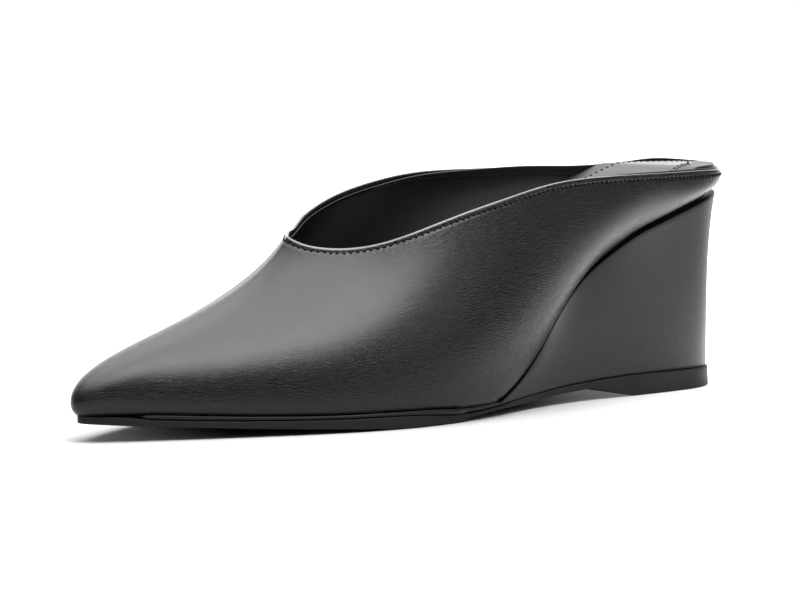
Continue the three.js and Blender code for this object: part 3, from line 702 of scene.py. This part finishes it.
def lids(outer, inner, steps):
    """Rows of points across the top and the bottom between two walls, for a closed ring."""
    lid = np.arange(1, steps) / steps
    return blend(outer[:, -1], inner[:, -1], lid), blend(inner[:, 0], outer[:, 0], lid)


def wedge_wall(p):
    """Rings up the wedge's wall, over the rolled rim and in under the upper, for places p."""
    v, n = section(p), plan_out(section, p)
    s, m = sole_at(p)[:, :2], plan_out(sole_at, p)
    f = np.clip(v[:, 1] / WEDGE_END, 0, 1)
    foot_in = FOOT_IN + HEEL_IN * np.clip(1 - v[:, 1] / HEEL_RUN, 0, 1)
    low, rim = s - m * foot_in[:, None], v[:, :2] + n * (PROUD * (1 - f))[:, None]
    zl = sole_top(low[:, 1]) + GAP
    zr = edge(rim[:, 1]) - GAP - (GROOVE - GROOVE_LESS * f)
    rise = np.linspace(0, 1, 40)
    wall = blend(low, rim, rise ** WAIST)
    z = zl[:, None] + (zr - zl)[:, None] * rise
    shoulder = v[:, :2] - n * BEVEL
    zs = edge(np.minimum(shoulder[:, 1], WEDGE_END)) - GAP
    a = np.linspace(0, math.pi / 2, 6)[1:]
    inner = rim + (shoulder - rim) * (RIM_R / (BEVEL + PROUD))
    arc = blend(rim, inner, 1 - np.cos(a))
    za = zr[:, None] + RIM_R * np.sin(a)
    ledge = np.stack([inner * 0.5 + shoulder * 0.5, shoulder, shoulder], 1)
    arc = np.concatenate([arc, ledge], 1)
    za = np.concatenate([za, za[:, -1:], za[:, -1:], zs[:, None]], 1)
    out = np.concatenate([join(wall, z), join(arc, za)], 1)
    out[..., 1] = np.minimum(out[..., 1], WEDGE_END)
    return out


qw = np.r_[np.linspace(0, 4, 90), np.linspace(4, row_at(WEDGE_END), 120)[1:]]
wo, wi = wedge_wall(qw), wedge_wall(AROUND - qw)
wo[-1, :, 1], wi[-1, :, 1] = WEDGE_END, WEDGE_END
top_lid, low_lid = lids(wo, wi, 12)
hull = np.concatenate([wo, top_lid, wi[:, ::-1], low_lid], 1)
cap = hull[-1].mean(0)[None, None] * np.ones((1, hull.shape[1], 1))
hull = np.concatenate([hull, hull[-1:] * 0.5 + cap * 0.5, cap], 0)
wedge = sheet_mesh("wedge_cover", hull, (False, True))
tidy_mesh(wedge, MERGE)
cover = leather("wedge_skin", (0.006, 0.006, 0.0062), 0.40, 0.04, 0.05, 1800)
wedge.data.materials.append(cover)
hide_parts("wedge_heel")
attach(wedge, "root")

# Midsole: a thin black layer under the forefoot only, flush with the upper's edge, pulled in
# just ahead of the wedge.
MID_START, MID_END = 0.115, 0.230
MID_IN, BULGE = 0.0002, 0.00035   # side inside the upper's edge, and rounding of the side
RECESS, RECESS_TO, RECESS_FADE = 0.0016, 0.134, 0.005  # deeper by the wedge, to here, fading


def mid_wall(p):
    """Low edge, bulge and top edge of the thin layer."""
    v, n = section(p), plan_out(section, p)
    d = MID_IN + RECESS * np.clip((RECESS_TO - v[:, 1]) / RECESS_FADE, 0, 1)
    zl, zh = sole_top(v[:, 1]) + GAP, edge(v[:, 1]) - GAP
    a = np.linspace(-1, 1, 9)
    d = d[:, None] + BULGE * (1 - np.sqrt(1 - a * a * 0.98))
    side = v[:, None, :2] - n[:, None] * d[..., None]
    return join(side, (zl + zh)[:, None] / 2 + (zh - zl)[:, None] / 2 * a)


qm = np.linspace(row_at(MID_START), row_at(MID_END), 150)
mo, mi = mid_wall(qm), mid_wall(AROUND - qm)
for g in (mo, mi):
    g[0, :, 1], g[-1, :, 1] = MID_START, MID_END
body = np.concatenate([mo, mi[:, ::-1]], 1)
ends = [np.ones((1, body.shape[1], 1)) * body[k].mean(0) for k in (0, -1)]
body = np.concatenate([ends[0], body, ends[1]], 0)
midsole = sheet_mesh("midsole_layer", body, (False, True))
tidy_mesh(midsole, MERGE)


def rubber(name, tone, rough, speck):
    """Black rubber: faint scuffs and a fine moulded speckle."""
    m, shader, w = new_finish(name)
    spot = w.node("TexCoord", out=3)
    scuff = w.node("TexNoise", Vector=spot, Scale=90.0, Detail=4.0)
    grit = w.node("TexNoise", Vector=spot, Scale=2400.0, Detail=1.0)
    tone_in = w.node("MixRGB", Fac=scuff, Color1=(*[c * 0.8 for c in tone], 1),
                     Color2=(*[c * 1.3 for c in tone], 1))
    gloss = w.node("MapRange", Value=scuff, From_Min=0.3, From_Max=0.7, To_Min=rough - 0.06,
                   To_Max=rough + 0.08)
    bump = w.node("Bump", Height=grit * speck + scuff * 0.05, Distance=0.001, Strength=1.0)
    into(w, shader, Base_Color=tone_in, Roughness=gloss, Normal=bump, Specular_IOR_Level=0.3)
    return m


board = rubber("midsole_black", (0.005, 0.005, 0.0052), 0.40, 0.01)
midsole.data.materials.append(board)
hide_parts("midsole")
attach(midsole, "root")

# Outsole: one moulded black sole, 2 mm thin under forefoot and waist, with the heel lift
# moulded on it; its lower edge is rounded and its top edge almost sharp.
SOLE_ROUND, SOLE_LIP = 0.0004, 0.0001  # radius of the lower edge, bevel of the upper one
BENDS = (0.195, 0.274, 0.552, 0.612)  # shares of the length where the underside turns


def sole_wall(p):
    """Lower rounding and side of the outsole, low to high."""
    s, m = sole_at(p)[:, :2], plan_out(sole_at, p)
    lo, hi = sole_low(s[:, 1]), sole_top(s[:, 1])
    r = np.minimum(SOLE_ROUND, (hi - lo) * 0.4)
    a = np.linspace(0, math.pi / 2, 6)
    side = s[:, None] - m[:, None] * (r[:, None] * (1 - np.sin(a)))[..., None]
    z = lo[:, None] + r[:, None] * (1 - np.cos(a))
    rest = np.array([0.3, 0.6, 0.9, 1.0])
    z_rest = z[:, -1:] + (hi[:, None] - SOLE_LIP - z[:, -1:]) * rest
    upright = np.repeat(s[:, None], len(rest), 1)
    lip = s[:, None] - m[:, None] * SOLE_LIP
    return np.concatenate([join(side, z), join(upright, z_rest), join(lip, hi[:, None])], 1)


marks = np.array([row_at(v * LENGTH) for v in BENDS])
qs = np.r_[np.linspace(0, 3.2, 80), np.linspace(3.2, 13, 220), np.linspace(13, TOE, 70), marks]
qs = np.unique(qs)
so, si = sole_wall(qs), sole_wall(AROUND - qs)
top_lid, low_lid = lids(so, si, 8)
shell = np.concatenate([so, top_lid, si[:, ::-1], low_lid], 1)
outsole = sheet_mesh("outsole_moulding", shell, (False, True))
tidy_mesh(outsole, MERGE)
tread = rubber("outsole_black", (0.005, 0.005, 0.0052), 0.58, 0.02)
outsole.data.materials.append(tread)
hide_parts("outsole")
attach(outsole, "root")
